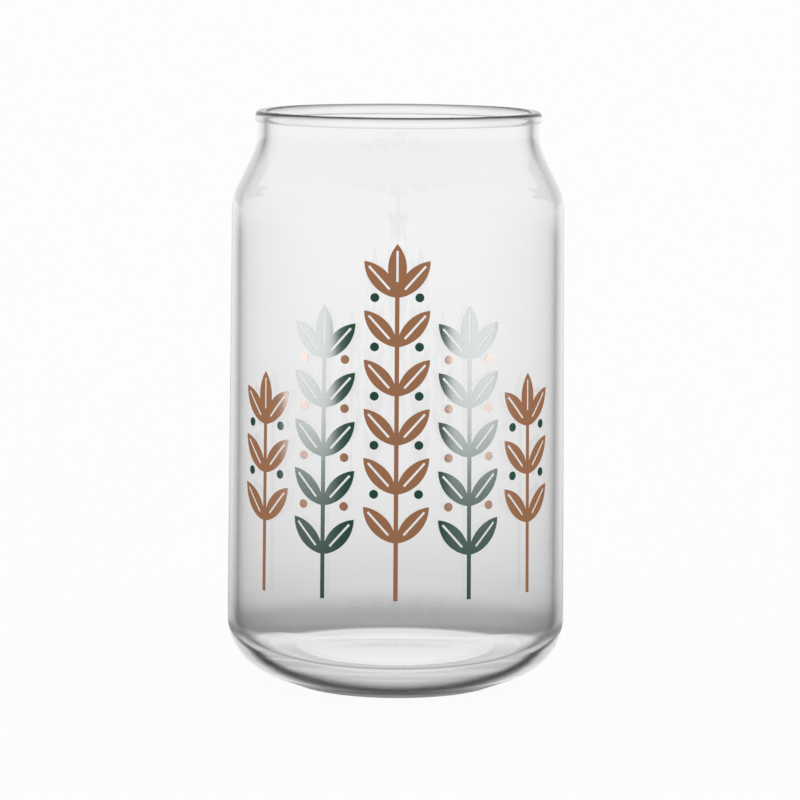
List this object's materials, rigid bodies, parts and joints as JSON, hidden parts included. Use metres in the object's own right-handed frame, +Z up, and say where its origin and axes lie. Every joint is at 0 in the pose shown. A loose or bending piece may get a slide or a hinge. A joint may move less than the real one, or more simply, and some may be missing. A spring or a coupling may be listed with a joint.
{
  "type": "can-shaped drinking glass",
  "caption": "Clear can-shaped drinking glass with a beaded rim, a narrow neck, sloping shoulders, a thick rounded base and a fired print of leafy sprigs.",
  "frame": {"origin": "centre of the circle on which the glass stands", "axes": "+Z up along the glass's axis; the print faces -Y"},
  "size_m": [0.078, 0.078, 0.1326],
  "materials": {
    "clear_glass": "polished, clear",
    "copper_enamel": "fired enamel, semi-gloss",
    "green_enamel": "fired enamel, semi-gloss"
  },
  "bodies": {
    "root": {"glass_body": "clear_glass", "print_copper": "copper_enamel", "print_green": "green_enamel"}
  },
  "joints": []
}
